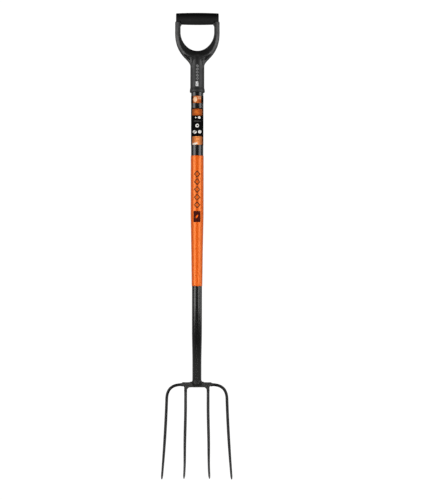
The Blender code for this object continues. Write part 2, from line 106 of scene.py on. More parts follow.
TINE_RADIUS = 0.0040
TINE_TIP_RADIUS = 0.0028
TINE_TAPER_START = 0.120
TIP_POINT = 0.0110  # length of the rounded point
TIP_FORWARD = 0.0445
INNER_TINE_X = 0.0311
INNER_LEAN = (0.190, 0.080, 0.0017)  # where the lean starts and ends, and how far it moves out
INNER_FLARE = (0.050, 0.0020)  # where the flare starts, and how far it moves out
INNER_TIP_Z = 0.0015
OUTER_ROOT = (0.0444, 0.2489)  # (x, z)
SHOULDER = (0.0834, 0.2064)
BEND_START = (OUTER_ROOT[0] + 0.0221, OUTER_ROOT[1] - 0.0010)  # the bend's two control points
BEND_END = (SHOULDER[0] + 0.0001, SHOULDER[1] + 0.0327)
BEND_SWELL = 0.0003
SWELL_FROM, SWELL_FULL, SWELL_FADES = 0.195, 0.222, 0.249  # heights, going up around the bend
OUTER_SPLAY = (math.radians(1.8), math.radians(4.5))  # lean at the shoulder and at the tip

WELD_INSET = 0.0012  # how far a tine's weld starts inside the yoke
WELD_LENGTH = 0.0065
OUTER_WELD_ROOT, INNER_WELD_ROOT = (0.0052, 0.0058), (0.0042, 0.0058)  # half across, half deep
NECK_WELD_PROFILE = (  # height, half across, half deep
    (0.2650, 0.0124, 0.0124), (0.2620, 0.0127, 0.0127), (0.2590, 0.0135, 0.0132),
    (0.2565, 0.0148, 0.0138), (0.2545, 0.0158, 0.0143), (0.2520, 0.0150, 0.0140),
    (0.2495, 0.0134, 0.0130), (0.2475, 0.0118, 0.0116),
)
NECK_WELD_LUMPS = (  # x, front or back, height, radius
    (-0.0090, -1, 0.2548, 0.0030), (0.0088, -1, 0.2552, 0.0028), (-0.0070, 1, 0.2545, 0.0030),
    (0.0080, 1, 0.2550, 0.0032), (0.0010, 1, 0.2535, 0.0026),
)
LUMP_Y = 0.0112  # from the tube's axis to the middle of a lump

SOCKET_RADIUS = 0.01925
SOCKET_TOP = 1.1400
COLLAR_RADIUS = handle_high[1]
COLLAR_TOP = 1.0668
COLLAR_BOTTOM = handle_low[2]
STEM_TOP = 1.1690
ARM_TOP = 1.2483
ARM_OUTER_X = handle_high[0]
ARM_HALF_DEPTH = 0.0120
OPENING_HALF_WIDTH = 0.0461
OPENING_DROP = 0.0515
OPENING_CENTRE_Z = 1.2206
CORE_RADIUS = 0.0105
CORE_HALF_LENGTH = 0.0540
GRIP_Z = (grip_low[2] + grip_high[2]) / 2
GRIP_RADIUS = (grip_high[2] - grip_low[2]) / 2
GRIP_END_RADIUS = 0.0151
GRIP_HALF_LENGTH = grip_high[0]
GRIP_CORNER = 0.0020
FRAME_EDGE = 0.0018  # rounding of the frame's edges
SADDLE_SWELL = 0.0060  # how much deeper the saddle is than an arm, on each side
FIRST_VOXEL, LAST_VOXEL = 0.0009, 0.00075  # fusing the frame before and after its hollows are cut
FILLET_RADIUS, FILLET_HALF_DEPTH = 0.0055, 0.0085
POCKET_CORNERS = ((0.0400, 1.1590), (0.0200, 1.1497), (0.0192, 1.1405), (0.0225, 1.1430))
POCKET_FLOOR = 0.0105  # distance of a pocket's floor from the middle plane
HANDLE_DIAMONDS = (1.0860, 1.1290)
SOCKET_DULLER = 0.12  # added to the roughness below the stem
SCREW_NODES = ("handle_screw_upper", "handle_screw_lower")

# ------------------------ camera and lamps
CAMERA_DISTANCE = 3.2
CAMERA_HEIGHT = 0.6217
CAMERA_ROLL = -0.00145
CAMERA_SHIFT = 0.0429
VIEW_HEIGHT = 1.374  # height of the frame at the fork
LAMP_DISTANCE = 1.75
SIDE_LAMPS = (  # name, angle from the front, height, width, length, power
    ("softbox_left", -53, 1.03, 0.80, 1.85, 13.1), ("softbox_right", 53, 1.03, 0.80, 1.85, 13.1),
    ("side_strip_left", -62, 0.38, 0.45, 0.45, 2.4), ("side_strip_right", 77, 0.43, 0.45, 0.45, 2.0),
)
FILL_LAMPS = (("low_fill", (0.0, -2.2, -0.25), 36.0), ("back_fill", (0.0, 2.4, 1.3), 22.0))
FILL_TARGET, FILL_SIZE = (0, 0, 0.65), (1.6, 0.8)
WHITE = 1.05  # strength of the white floor and backdrop
GLOW, DARK_ROOM = 0.60, 0.02  # strength of the room's side glows, and of the rest of it


# ------------------------ mesh helpers
def add(name, mesh):
    """Link a mesh as a smooth-shaded object."""
    item = bpy.data.objects.new(name, mesh)
    bpy.context.scene.collection.objects.link(item)
    mesh.shade_smooth()
    return item


def mesh_from(shape, name):
    """Turn a bmesh into mesh data with its faces pointing out."""
    bmesh.ops.recalc_face_normals(shape, faces=shape.faces)
    mesh = bpy.data.meshes.new(name)
    shape.to_mesh(mesh)
    shape.free()
    return mesh


def loft(name, rings, looped=False):
    """Skin through rings of points: capped at both ends, or closed on itself."""
    shape = bmesh.new()
    rows = [[shape.verts.new(point) for point in ring] for ring in rings]
    following = rows[1:] + rows[:1] if looped else rows[1:]
    for row, after in zip(rows, following):
        for here in range(len(row)):
            there = (here + 1) % len(row)
            shape.faces.new((row[here], row[there], after[there], after[here]))
    if not looped:
        shape.faces.new(rows[0])
        shape.faces.new(rows[-1])
    return add(name, mesh_from(shape, name))


def circle(centre, across, along, radius, sides):
    """Points of a circle in the plane of two unit vectors."""
    turns = [2 * math.pi * step / sides for step in range(sides)]
    return [centre + radius * (math.cos(a) * across + math.sin(a) * along) for a in turns]


def path_rings(points, radii, sides):
    """Circles along a path, square to it and without twist."""
    points = [Vector(point) for point in points]
    rings, across = [], X_AXIS.copy()
    for index, (point, radius) in enumerate(zip(points, radii)):
        before, after = points[max(index - 1, 0)], points[min(index + 1, len(points) - 1)]
        tangent = (after - before).normalized()
        if abs(across.dot(tangent)) > 0.9:
            across = Y_AXIS.copy()
        across = (across - across.dot(tangent) * tangent).normalized()
        rings.append(circle(point, across, tangent.cross(across), radius, sides))
    return rings


def turned(name, profile, sides, looped=False):
    """A shape turned about Z from (radius, z) points."""
    rings = [circle(Vector((0, 0, z)), X_AXIS, Y_AXIS, radius, sides) for radius, z in profile]
    return loft(name, rings, looped)


def with_modifier(item, kind, **settings):
    """Apply one modifier to an object's mesh."""
    modifier = item.modifiers.new(kind.lower(), kind)
    for setting, value in settings.items():
        setattr(modifier, setting, value)
    evaluated = item.evaluated_get(bpy.context.evaluated_depsgraph_get())
    mesh = bpy.data.meshes.new_from_object(evaluated)
    item.modifiers.remove(modifier)
    old, item.data = item.data, mesh
    bpy.data.meshes.remove(old)
    mesh.shade_smooth()
    return item


def cut(item, tool):
    """Subtract a closed shape and discard it."""
    with_modifier(item, "BOOLEAN", operation="DIFFERENCE", object=tool, solver="EXACT")
    bpy.data.objects.remove(tool, do_unlink=True)


def merged(name, items):
    """One object that holds the meshes of several."""
    shape = bmesh.new()
    for item in items:
        shape.from_mesh(item.data)
        bpy.data.objects.remove(item, do_unlink=True)
    return add(name, mesh_from(shape, name))


def moulded(item, voxel, passes):
    """Fuse overlapping shapes into one skin with soft inner and outer corners."""
    with_modifier(item, "REMESH", mode="VOXEL", voxel_size=voxel, use_smooth_shade=True)
    return with_modifier(item, "SMOOTH", factor=0.5, iterations=passes)


def prism(name, outline, low_y, high_y):
    """A solid between two Y planes from a front outline of (x, z) points."""
    rings = [[Vector((x, y, z)) for x, z in outline] for y in (low_y, high_y)]
    return loft(name, rings)


def rod(name, start, end, radius, sides=48):
    """A plain cylinder between two points."""
    return loft(name, path_rings([start, end], [radius, radius], sides))


def roughened(item, depth, size, seed):
    """Move each point along its normal by smooth noise, as forging leaves a surface."""
    offset = Vector((seed, 2.7 * seed, 5.1 * seed))
    for vertex in item.data.vertices:
        vertex.co += vertex.normal * depth * noise.noise(vertex.co / size + offset)
    return item


def spaced(start, end, count):
    """Evenly spaced numbers, both ends included."""
    return [start + (end - start) * step / (count - 1) for step in range(count)]


def arc(centre, radius, start, end, steps):
    """Points on a circle between two angles in degrees, both ends included."""
    angles = [math.radians(start + (end - start) * step / steps) for step in range(steps + 1)]
    return [(centre[0] + radius * math.cos(a), centre[1] + radius * math.sin(a)) for a in angles]


def bezier(start, first, second, end, steps):
    """Points on a cubic curve, without its first point."""
    points = []
    for step in range(1, steps + 1):
        t = step / steps
        weights = ((1 - t) ** 3, 3 * t * (1 - t) ** 2, 3 * t * t * (1 - t), t ** 3)
        corners = (start, first, second, end)
        points.append(tuple(sum(w * c[k] for w, c in zip(weights, corners)) for k in range(2)))
    return points


def blend(value, low, high):
    """Where a value lies between two limits, from 0 to 1."""
    return min(max((value - low) / (high - low), 0.0), 1.0)


def eased(share):
    """A share from 0 to 1 with a gentle start and end."""
    return share * share * (3 - 2 * share)


# ------------------------ finishes
INK_EDGE = 0.00015  # half of the soft edge around print


class Finish:
    """A Principled material and short calls that add nodes to it."""

    def __init__(self, name, **sockets):
        self.material = bpy.data.materials.new(name)
        self.material.use_nodes = True
        self.tree = self.material.node_tree
        self.shader = self.tree.nodes["Principled BSDF"]
        for socket, value in sockets.items():
            label = socket.replace("_", " ").title().replace("Ior", "IOR")
            self.shader.inputs[label].default_value = value
        self.place = self.tree.nodes.new("ShaderNodeTexCoord").outputs["Object"]
        self.parts = None

    def plug(self, source, socket):
        """Feed a socket from another socket or with a constant."""
        if isinstance(source, bpy.types.NodeSocket):
            self.tree.links.new(source, socket)
        else:
            socket.default_value = source

    def math(self, operation, *values):
        """A Math node's result."""
        node = self.tree.nodes.new("ShaderNodeMath")
        node.operation = operation
        for socket, value in zip(node.inputs, values):
            self.plug(value, socket)
        return node.outputs[0]

    def axis(self, letter):
        """One coordinate of the point, in metres."""
        if self.parts is None:
            self.parts = self.tree.nodes.new("ShaderNodeSeparateXYZ")
            self.plug(self.place, self.parts.inputs[0])
        return self.parts.outputs[letter]

    def noise(self, size, detail=2.0, stretch=(1.0, 1.0, 1.0)):
        """Noise from 0 to 1 whose grain has the given size in metres."""
        mapping = self.tree.nodes.new("ShaderNodeMapping")
        mapping.inputs["Scale"].default_value = stretch
        self.plug(self.place, mapping.inputs["Vector"])
        node = self.tree.nodes.new("ShaderNodeTexNoise")
        node.inputs["Scale"].default_value = 1.0 / size
        node.inputs["Detail"].default_value = detail
        self.plug(mapping.outputs[0], node.inputs["Vector"])
        return node.outputs["Fac"]

    def spread(self, factor, low, high, start=0.0, end=1.0):
        """Map a factor's range from start to end onto low to high."""
        node = self.tree.nodes.new("ShaderNodeMapRange")
        for socket, value in zip(node.inputs, (factor, start, end, low, high)):
            self.plug(value, socket)
        return node.outputs[0]

    def mix(self, factor, first, second):
        """Blend two colours."""
        node = self.tree.nodes.new("ShaderNodeMix")
        node.data_type = "RGBA"
        self.plug(factor, node.inputs["Factor"])
        for source, socket in ((first, node.inputs["A"]), (second, node.inputs["B"])):
            self.plug((*source, 1.0) if isinstance(source, tuple) else source, socket)
        return node.outputs["Result"]

    def bump(self, height, distance, before=None):
        """A bump of the given depth in metres, on top of another bump."""
        node = self.tree.nodes.new("ShaderNodeBump")
        node.inputs["Strength"].default_value = 1.0
        node.inputs["Distance"].default_value = distance
        self.plug(height, node.inputs["Height"])
        if before is not None:
            self.plug(before, node.inputs["Normal"])
        return node.outputs[0]

    def vector(self, operation, *values, output=0):
        """A Vector Math node's result."""
        node = self.tree.nodes.new("ShaderNodeVectorMath")
        node.operation = operation
        for socket, value in zip(node.inputs, values):
            self.plug(value, socket)
        return node.outputs[output]

    def flat(self, x=None, z=None):
        """The point seen from the front, as a vector (x, 0, z)."""
        node = self.tree.nodes.new("ShaderNodeCombineXYZ")
        self.plug(self.axis("X") if x is None else x, node.inputs[0])
        self.plug(self.axis("Z") if z is None else z, node.inputs[2])
        return node.outputs[0]

    def inked(self, distance, width):
        """1 where a distance is under a width, 0 beyond, with a narrow soft edge."""
        return self.spread(distance, 1.0, 0.0, width - INK_EDGE, width + INK_EDGE)

    def disc(self, point, x, z, radius):
        """A filled circle."""
        away = self.vector("DISTANCE", point, (x, 0.0, z), output="Value")
        return self.inked(away, radius)

    def block(self, point, low, high, corner):
        """A filled rectangle with round corners, from (x, z) to (x, z)."""
        middle = ((low[0] + high[0]) / 2, 0.0, (low[1] + high[1]) / 2)
        half = ((high[0] - low[0]) / 2 - corner, 1.0, (high[1] - low[1]) / 2 - corner)
        away = self.vector("ABSOLUTE", self.vector("SUBTRACT", point, middle))
        outside = self.vector("MAXIMUM", self.vector("SUBTRACT", away, half), (0.0, 0.0, 0.0))
        return self.inked(self.vector("LENGTH", outside, output="Value"), corner)

    def stroke(self, point, start, end, width):
        """A straight stroke with round ends between two (x, z) points."""
        run = Vector((end[0] - start[0], 0.0, end[1] - start[1]))
        local = self.vector("SUBTRACT", point, (start[0], 0.0, start[1]))
        share = self.vector("DOT_PRODUCT", local, run / run.length_squared, output="Value")
        share = self.math("MINIMUM", self.math("MAXIMUM", share, 0.0), 1.0)
        nearest = self.tree.nodes.new("ShaderNodeVectorMath")
        nearest.operation = "SCALE"
        nearest.inputs[0].default_value = run
        self.plug(share, nearest.inputs["Scale"])
        away = self.vector("DISTANCE", local, nearest.outputs[0], output="Value")
        return self.inked(away, width / 2)

    def either(self, *masks):
        """Where any of the masks is."""
        result = masks[0]
        for mask in masks[1:]:
            result = self.math("MAXIMUM", result, mask)
        return result

    def both(self, *masks):
        """Where all of the masks are."""
        result = masks[0]
        for mask in masks[1:]:
            result = self.math("MULTIPLY", result, mask)
        return result

    def front(self):
        """1 on the front half of the shaft."""
        return self.inked(self.axis("Y"), 0.0)

    def diamonds(self, low, high, count, half_width, width):
        """A column of open diamonds that fills a height on the front."""
        pitch = (high - low) / count
        cell = self.math("SUBTRACT", self.axis("Z"), low)
        cell = self.math("SUBTRACT", self.math("WRAP", cell, pitch, 0.0), pitch / 2)
        point = self.flat(self.math("ABSOLUTE", self.axis("X")), self.math("ABSOLUTE", cell))
        top, corner = (0.0, pitch / 2 - width * 0.8), (half_width - width / 2, 0.0)
        mark = self.stroke(point, top, corner, width)
        below, above = self.inked(self.axis("Z"), high), self.math("GREATER_THAN", self.axis("Z"), low)
        return self.both(mark, self.both(below, above), self.front())

    def surface(self, colour, roughness, normal):
        """Feed the shader, and return the finished material."""
        for source, socket in ((colour, "Base Color"), (roughness, "Roughness"), (normal, "Normal")):
            self.plug(source, self.shader.inputs[socket])
        return self.material


def painted_tube():
    """Semi-gloss black paint with faint orange peel, dust-dulled patches, and a foot painted lighter as
    painted light.
    """
    paint = Finish("painted_tube", specular_ior_level=0.85)
    tone = paint.mix(paint.noise(0.050), (0.0060, 0.0060, 0.0059), (0.0085, 0.0084, 0.0082))
    # Painted light: below 0.30 m, blending in up to 0.37 m, the paint turns lighter (0.024) to stand in for
    # the brighter light on the neck's foot.
    foot = paint.spread(paint.axis("Z"), 1.0, 0.0, 0.30, 0.37)
    tone = paint.mix(foot, tone, (0.024, 0.024, 0.023))
    dull = paint.spread(paint.noise(0.020, 3.0), 0.21, 0.27)
    peel = paint.bump(paint.noise(0.0016, 1.0), 0.00001)
    return paint.surface(tone, dull, peel)


def forged_paint(name, dark, light, wave, pit):
    """Satin black paint over forged steel: hammer waves, scale pits and lighter rubbed spots."""
    paint = Finish(name)
    rubbed = paint.spread(paint.noise(0.007, 4.0), 0.0, 1.0, 0.45, 0.75)
    tone = paint.mix(rubbed, dark, light)
    dull = paint.spread(paint.noise(0.005, 3.0), 0.36, 0.50)
    waves = paint.bump(paint.noise(0.008, 1.0), wave)
    pits = paint.bump(paint.noise(0.0012, 2.0), pit, before=waves)
    return paint.surface(tone, dull, pits)


def tine_paint(name, top, shade):
    """Satin black paint on a tine: its point painted lighter as painted light, its root painted to the level
    top, and all of it scaled by shade as painted shade.
    """
    paint = Finish(name)
    height = paint.axis("Z")
    levels = (0.0105 * shade, 0.0145 * shade, 0.060 * shade)
    dark, light, painted_tip_light = ((level, level, level * 0.97) for level in levels)
    tone = paint.mix(paint.noise(0.012), dark, light)
    # Painted light and shade at the root: from 0.15 m up to 0.21 m the tone blends to the level top.
    tone = paint.mix(paint.spread(height, 0.0, 1.0, 0.15, 0.21), tone, (top, top, top * 0.97))
    # Painted light: below 0.06 m the tone lightens towards the point, where the upturned tips catch the
    # light.
    tone = paint.mix(paint.spread(height, 1.0, 0.0, 0.0, 0.060), tone, painted_tip_light)
    dull = paint.spread(paint.noise(0.008, 3.0), 0.38, 0.46)
    return paint.surface(tone, dull, paint.bump(paint.noise(0.0015, 2.0), 0.00001))


def moulded_plastic(name, dark, light, rough, shine):
    """Black moulded plastic with spark-eroded grain and a parting line around its edge."""
    plastic = Finish(name, specular_ior_level=shine)
    tone = plastic.mix(plastic.noise(0.030), dark, light)
    dull = plastic.spread(plastic.noise(0.012, 3.0), rough - 0.04, rough + 0.05)
    grain = plastic.bump(plastic.noise(0.0006, 2.0), 0.00004)
    off_line = plastic.math("ABSOLUTE", plastic.axis("Y"))
    ridge = plastic.spread(off_line, 1.0, 0.0, 0.00005, 0.00025)
    return plastic, tone, dull, plastic.bump(ridge, 0.00010, before=grain)


def plain_steel(name, colour, rough):
    """Bright plated or bare steel with fine drawing marks."""
    steel = Finish(name, metallic=1.0)
    tone = steel.mix(steel.noise(0.004, 3.0), colour, tuple(c * 0.8 for c in colour))
    dull = steel.spread(steel.noise(0.001, 2.0), rough - 0.06, rough + 0.08)
    marks = steel.bump(steel.noise(0.0004, 1.0, (1.0, 1.0, 0.1)), 0.00002)
    return steel.surface(tone, dull, marks)


def dowel_wood():
    """Pale dowel with grain along the shaft."""
    wood = Finish("dowel_wood")
    grain = wood.noise(0.002, 4.0, (1.0, 1.0, 0.08))
    tone = wood.mix(grain, (0.36, 0.22, 0.11), (0.55, 0.38, 0.21))
    return wood.surface(tone, wood.spread(grain, 0.7, 0.85), wood.bump(grain, 0.00008))


def orange_skin():
    """Semi-gloss orange plastic."""
    skin = Finish("orange_skin", ior=1.85, specular_tint=(1.0, 0.46, 0.17, 1.0), specular_ior_level=1.0)
    tone = skin.mix(skin.noise(0.040), *ORANGE)
    dull = skin.spread(skin.noise(0.040, 2.0), 0.28, 0.32)
    return skin, tone, dull, skin.bump(skin.noise(0.0020, 1.0), 0.00001)


FORGED = forged_paint("forged_yoke_paint", (0.028, 0.028, 0.027), (0.042, 0.041, 0.039), 0.00015, 0.00004)
WELD = forged_paint("weld_paint", (0.014, 0.014, 0.0137), (0.026, 0.0255, 0.024), 0.00010, 0.00004)
# Painted light and shade: the inner tines' roots are painted lighter (0.030), and the outer tines are painted
# darker all over (shade 0.55), for how the light falls on each pair.
OUTER_TINE = tine_paint("outer_tine_paint", 0.008, 0.55)
INNER_TINE = tine_paint("inner_tine_paint", 0.030, 1.0)
PAINT = painted_tube()
ZINC = plain_steel("zinc_steel", (0.62, 0.62, 0.60), 0.32)
BARE = plain_steel("bare_steel", (0.45, 0.44, 0.43), 0.38)
WOOD = dowel_wood()


def place(item, material, slot, *nodes):
    """Give a finished piece its material and let it stand for CAD nodes."""
    item.data.materials.clear()
    item.data.materials.append(material)
    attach(item, "root")
    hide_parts(*nodes)


# ------------------------ shaft
def tube_radius(z):
    """Outer radius of the tube at a height."""
    radius = FOOT_RADIUS + (NECK_RADIUS - FOOT_RADIUS) * eased(blend(z, NECK_TAPER_BOTTOM, NECK_TAPER_TOP))
    radius += (SWAGE_RADIUS - NECK_RADIUS) * blend(z, TAPER_BOTTOM, TAPER_MIDDLE)
    return radius + (TUBE_RADIUS - SWAGE_RADIUS) * blend(z, TAPER_MIDDLE, TAPER_TOP)


def neck_y(z):
    """How far the tube's axis lies behind the shaft's axis at a height."""
    bend_height = CRANK_TOP - CRANK_BOTTOM
    if z >= CRANK_TOP:
        return 0.0
    if z >= CRANK_BOTTOM:
        return math.tan(CRANK_ANGLE) * (CRANK_TOP - z) ** 2 / (2 * bend_height)
    return math.tan(CRANK_ANGLE) * (bend_height / 2 + CRANK_BOTTOM - z)


def shaft_tube():
    """The tube's outer and inner skins, joined at both ends."""
    heights = spaced(TUBE_TOP, TUBE_FOOT, 150)
    points = [(0.0, neck_y(z), z) for z in heights]
    outer = path_rings(points, [tube_radius(z) for z in heights], 96)
    inner = path_rings(points, [tube_radius(z) - TUBE_WALL for z in heights], 96)
    item = loft("painted_shaft_tube", outer + inner[::-1], looped=True)
    place(item, PAINT, "black_steel", "shaft_tube")


def sleeve_ink():
    """Matt dark print on the sleeve: a block with a leaf-shaped gap."""
    ink = Finish("sleeve_ink", specular_ior_level=0.05)
    point = ink.flat()
    block = ink.block(point, (EMBLEM_LEFT, EMBLEM_BOTTOM), (EMBLEM_RIGHT, EMBLEM_TOP), 0.0015)
    leaf = ink.both(ink.disc(point, -0.0068, 0.7170, 0.0095), ink.disc(point, 0.0058, 0.7100, 0.0095))
    dark = ink.mix(ink.noise(0.006), (0.046, 0.006, 0.004), (0.070, 0.010, 0.007))
    orange = ink.mix(ink.noise(0.040), *ORANGE)
    tone = ink.mix(ink.both(block, ink.math("SUBTRACT", 1.0, leaf)), orange, dark)
    dull = ink.spread(ink.noise(0.012), 0.50, 0.60)
    return ink.surface(tone, dull, ink.bump(ink.noise(0.0020, 1.0), 0.00001))


def sleeve():
    """The orange sleeve, with rounded lips where it ends."""
    low, high, wall, lip = sleeve_low[2], sleeve_high[2] - SLEEVE_TRIM, SLEEVE_OFFSET, SLEEVE_LIP
    heights = sorted([*spaced(high - lip, low + lip, 80), EMBLEM_TOP, EMBLEM_BOTTOM], reverse=True)
    outer = [(tube_radius(z) + wall, z) for z in heights]
    top = [(tube_radius(high) + wall - lip + lip * math.sin(a), high - lip + lip * math.cos(a))
           for a in (0.0, 0.5, 1.0)]
    bottom = [(tube_radius(low) + wall - lip + lip * math.cos(a), low + lip - lip * math.sin(a))
              for a in (0.5, 1.0, 1.57)]
    inner = [(tube_radius(z) + 0.0001, z) for z in (low, TAPER_BOTTOM, TAPER_MIDDLE, TAPER_TOP, high)]
    skin, tone, dull, peel = orange_skin()
    marks = skin.diamonds(*SLEEVE_DIAMONDS, 5, 0.0088, 0.0029)
    tone = skin.mix(marks, tone, (0.060, 0.004, 0.003))
    dull = skin.math("ADD", dull, skin.math("MULTIPLY", marks, 0.3))
    item = turned("orange_plastic_sleeve", top + outer + bottom + inner, 128, looped=True)
    place(item, skin.surface(tone, dull, peel), "orange_plastic", "orange_sleeve")
    item.data.materials.append(sleeve_ink())
    for face in item.data.polygons:
        x, y, z = face.center
        outside = face.normal.x * x + face.normal.y * y > 0
        if outside and y < 0 and EMBLEM_BOTTOM < z < EMBLEM_TOP and EMBLEM_LEFT < x < EMBLEM_RIGHT:
            face.material_index = 1


def label_film():
    """Glossy black film."""
    film = Finish("label_film", specular_ior_level=0.80)
    tone = film.mix(film.noise(0.010), (0.007, 0.007, 0.007), (0.011, 0.010, 0.010))
    dull = film.spread(film.noise(0.012), 0.20, 0.26)
    return film.surface(tone, dull, film.bump(film.noise(0.0012, 1.0), 0.00001))


def label_ink():
    """Matt print on the front: an orange block, and a black panel with signs between two orange bands."""
    ink = Finish("label_ink", specular_ior_level=0.04)
    point, front = ink.flat(), ink.front()
    # Painted shade: the printed blocks darken from the middle of the tube to its sides, as the light falls
    # off round it, on top of the print's own gradient.
    middle = ink.spread(ink.math("ABSOLUTE", ink.axis("X")), 1.0, 0.0, 0.003, 0.014)
    white, cream, pale = (0.80, 0.78, 0.74), (0.90, 0.80, 0.68), (0.92, 0.58, 0.36)
    amber, deep, grey = (0.62, 0.170, 0.040), (0.30, 0.030, 0.006), (0.10, 0.095, 0.09)
    tone = ink.mix(ink.noise(0.010), (0.0020, 0.0020, 0.0020), (0.0036, 0.0034, 0.0034))

    def drawn(colour, *masks):
        return ink.mix(ink.both(ink.either(*masks), front), tone, colour)

    def field(low, high, corner, edge, centre):
        """A block that is lighter towards the middle of the tube and darker towards its sides: the label's
        own print gradient with painted shade where the light falls off round the tube.
        """
        return drawn(ink.mix(middle, edge, centre), ink.block(point, low, high, corner))

    def stroke(start, end, width):
        return ink.stroke(point, start, end, width)

    def line(z, left, right, width):
        return stroke((left, z), (right, z), width)

    def row(z, half, width):
        return stroke((-half, z), (half, z - 0.0006), width)

    def disc(x, z, radius):
        return ink.disc(point, x, z, radius)

    tone = field((-0.0118, 1.0240), (0.0108, 1.0430), 0.0010, (0.36, 0.10, 0.030), (0.60, 0.15, 0.030))
    tone = field((-0.0142, 0.9902), (0.0142, 1.0074), 0.0022, (0.24, 0.060, 0.018), (0.74, 0.175, 0.024))
    tone = field((-0.0145, 0.9098), (0.0145, 0.9328), 0.0022, (0.28, 0.075, 0.022), (0.90, 0.310, 0.090))
    leaf = ink.both(disc(-0.0092, 1.0335, 0.0088), disc(-0.0020, 1.0335, 0.0088))
    tone = drawn(pale, leaf, line(1.0402, 0.0022, 0.0092, 0.0018), line(1.0358, 0.0022, 0.0092, 0.0014))
    tone = drawn(deep, line(1.0290, 0.0022, 0.0092, 0.0026), row(1.0050, 0.0085, 0.0024),
                 row(0.9935, 0.0100, 0.0022), line(0.9993, 0.0012, 0.0095, 0.0020))
    tone = drawn(amber, row(0.9295, 0.0080, 0.0018), row(0.9205, 0.0090, 0.0018))
    tone = drawn(cream, stroke((-0.0108, 0.9115), (-0.0012, 0.9135), 0.0046))
    ring = ink.both(disc(0.0, 0.9618, 0.0051), ink.math("SUBTRACT", 1.0, disc(0.0005, 0.9622, 0.0023)))
    tone = drawn(white, ring, disc(-0.0068, 0.9445, 0.0050), disc(0.0068, 0.9450, 0.0048),
                 disc(0.0055, 0.9838, 0.0036), disc(-0.0042, 0.9838, 0.0020))
    tone = drawn(grey, stroke((-0.0100, 0.9412), (-0.0040, 0.9480), 0.0022), row(0.9745, 0.0085, 0.0016))
    dull = ink.spread(ink.noise(0.012), 0.55, 0.70)
    return ink.surface(tone, dull, ink.bump(ink.noise(0.0012, 1.0), 0.00001))


def label():
    """The film on the tube, open by a narrow seam at the back, with its two printed areas."""
    low, high = label_low[2], label_high[2]
    heights = (low, PANEL_BOTTOM, PANEL_TOP, BLOCK_BOTTOM, BLOCK_TOP, high)
    rings = []
    for angle in spaced(math.pi / 2 + FILM_SEAM, 2.5 * math.pi - FILM_SEAM, 97):
        outward = Vector((math.cos(angle), math.sin(angle), 0))
        near, far = outward * FILM_INNER, outward * FILM_OUTER
        outside = [far + z * Z_AXIS for z in heights]
        rings.append([near + low * Z_AXIS, *outside, near + high * Z_AXIS])
    item = loft("printed_shaft_label", rings)
    item.data.set_sharp_from_angle(angle=math.radians(40))
    place(item, label_film(), "label_film", "shaft_label")
    item.data.materials.append(label_ink())
    for face in item.data.polygons:
        x, y, z = face.center
        printed = PANEL_BOTTOM < z < PANEL_TOP or BLOCK_BOTTOM < z < BLOCK_TOP
        if printed and y < 0.2 * TUBE_RADIUS and face.normal.x * x + face.normal.y * y > 0:
            face.material_index = 1


# ------------------------ head
def tine_y(z):
    """The tines leave the yoke straight down and curve forward to their tips."""
    drop = (OUTER_ROOT[1] - z) / OUTER_ROOT[1]
    return YOKE_Y - (YOKE_Y + TIP_FORWARD) * max(drop, 0.0) ** 2


def outer_x(z):
    """Distance of an outer tine from the middle: its lean grows evenly from the shoulder down."""
    drop = SHOULDER[1] - z
    first, last = (math.tan(angle) for angle in OUTER_SPLAY)
    return SHOULDER[0] + first * drop + (last - first) * drop * drop / (2 * SHOULDER[1])


def inner_x(z):
    """Distance of an inner tine from the middle: it steps out gently, then flares at its tip."""
    start, end, lean = INNER_LEAN
    top, flare = INNER_FLARE
    return INNER_TINE_X + lean * eased(1 - blend(z, end, start)) + flare * (1 - blend(z, 0.0, top)) ** 2


def tine_radius(z, tip_z):
    """The tine tapers towards a blunt rounded point."""
    taper = 1 - blend(z, tip_z, TINE_TAPER_START)
    radius = TINE_RADIUS - (TINE_RADIUS - TINE_TIP_RADIUS) * taper ** 1.4
    point = blend(z, tip_z - 0.0002, tip_z + TIP_POINT)
    return radius * (1 - (1 - point) ** 2.2) ** 0.45


def bend_swell(z):
    """How much thicker an outer tine is around its bend."""
    return BEND_SWELL * blend(z, SWELL_FROM, SWELL_FULL) * (1 - blend(z, SWELL_FADES, OUTER_ROOT[1]))


def leg(top_z, tip_z, distance):
    """Points down the straight part of a tine, close together at its point."""
    heights = spaced(top_z, tip_z + TIP_POINT, 70)
    heights += [tip_z + TIP_POINT * (1 - share) ** 2 for share in spaced(0.08, 1.0, 12)]
    return [(distance(z), z) for z in heights]


def tines():
    """Four round forged tines."""
    outer = [(YOKE_HALF_LENGTH, OUTER_ROOT[1]), OUTER_ROOT]
    outer += bezier(OUTER_ROOT, BEND_START, BEND_END, SHOULDER, 36)
    outer += leg(SHOULDER[1], 0.0, outer_x)[1:]
    inner = leg(STUB_BOTTOM, INNER_TIP_Z, inner_x)
    for side, word in ((-1, "left"), (1, "right")):
        for kind, path, tip in (("outer", outer, 0.0), ("inner", inner, INNER_TIP_Z)):
            points = [(side * x, tine_y(z), z) for x, z in path]
            radii = [tine_radius(z, tip) + (bend_swell(z) if kind == "outer" else 0.0) for x, z in path]
            name = f"tine_{kind}_{word}"
            item = loft("forged_" + name, path_rings(points, radii, 32))
            roughened(item, 0.00010, 0.030, side * len(kind + word))
            place(item, OUTER_TINE if kind == "outer" else INNER_TINE, "forged_steel", name)


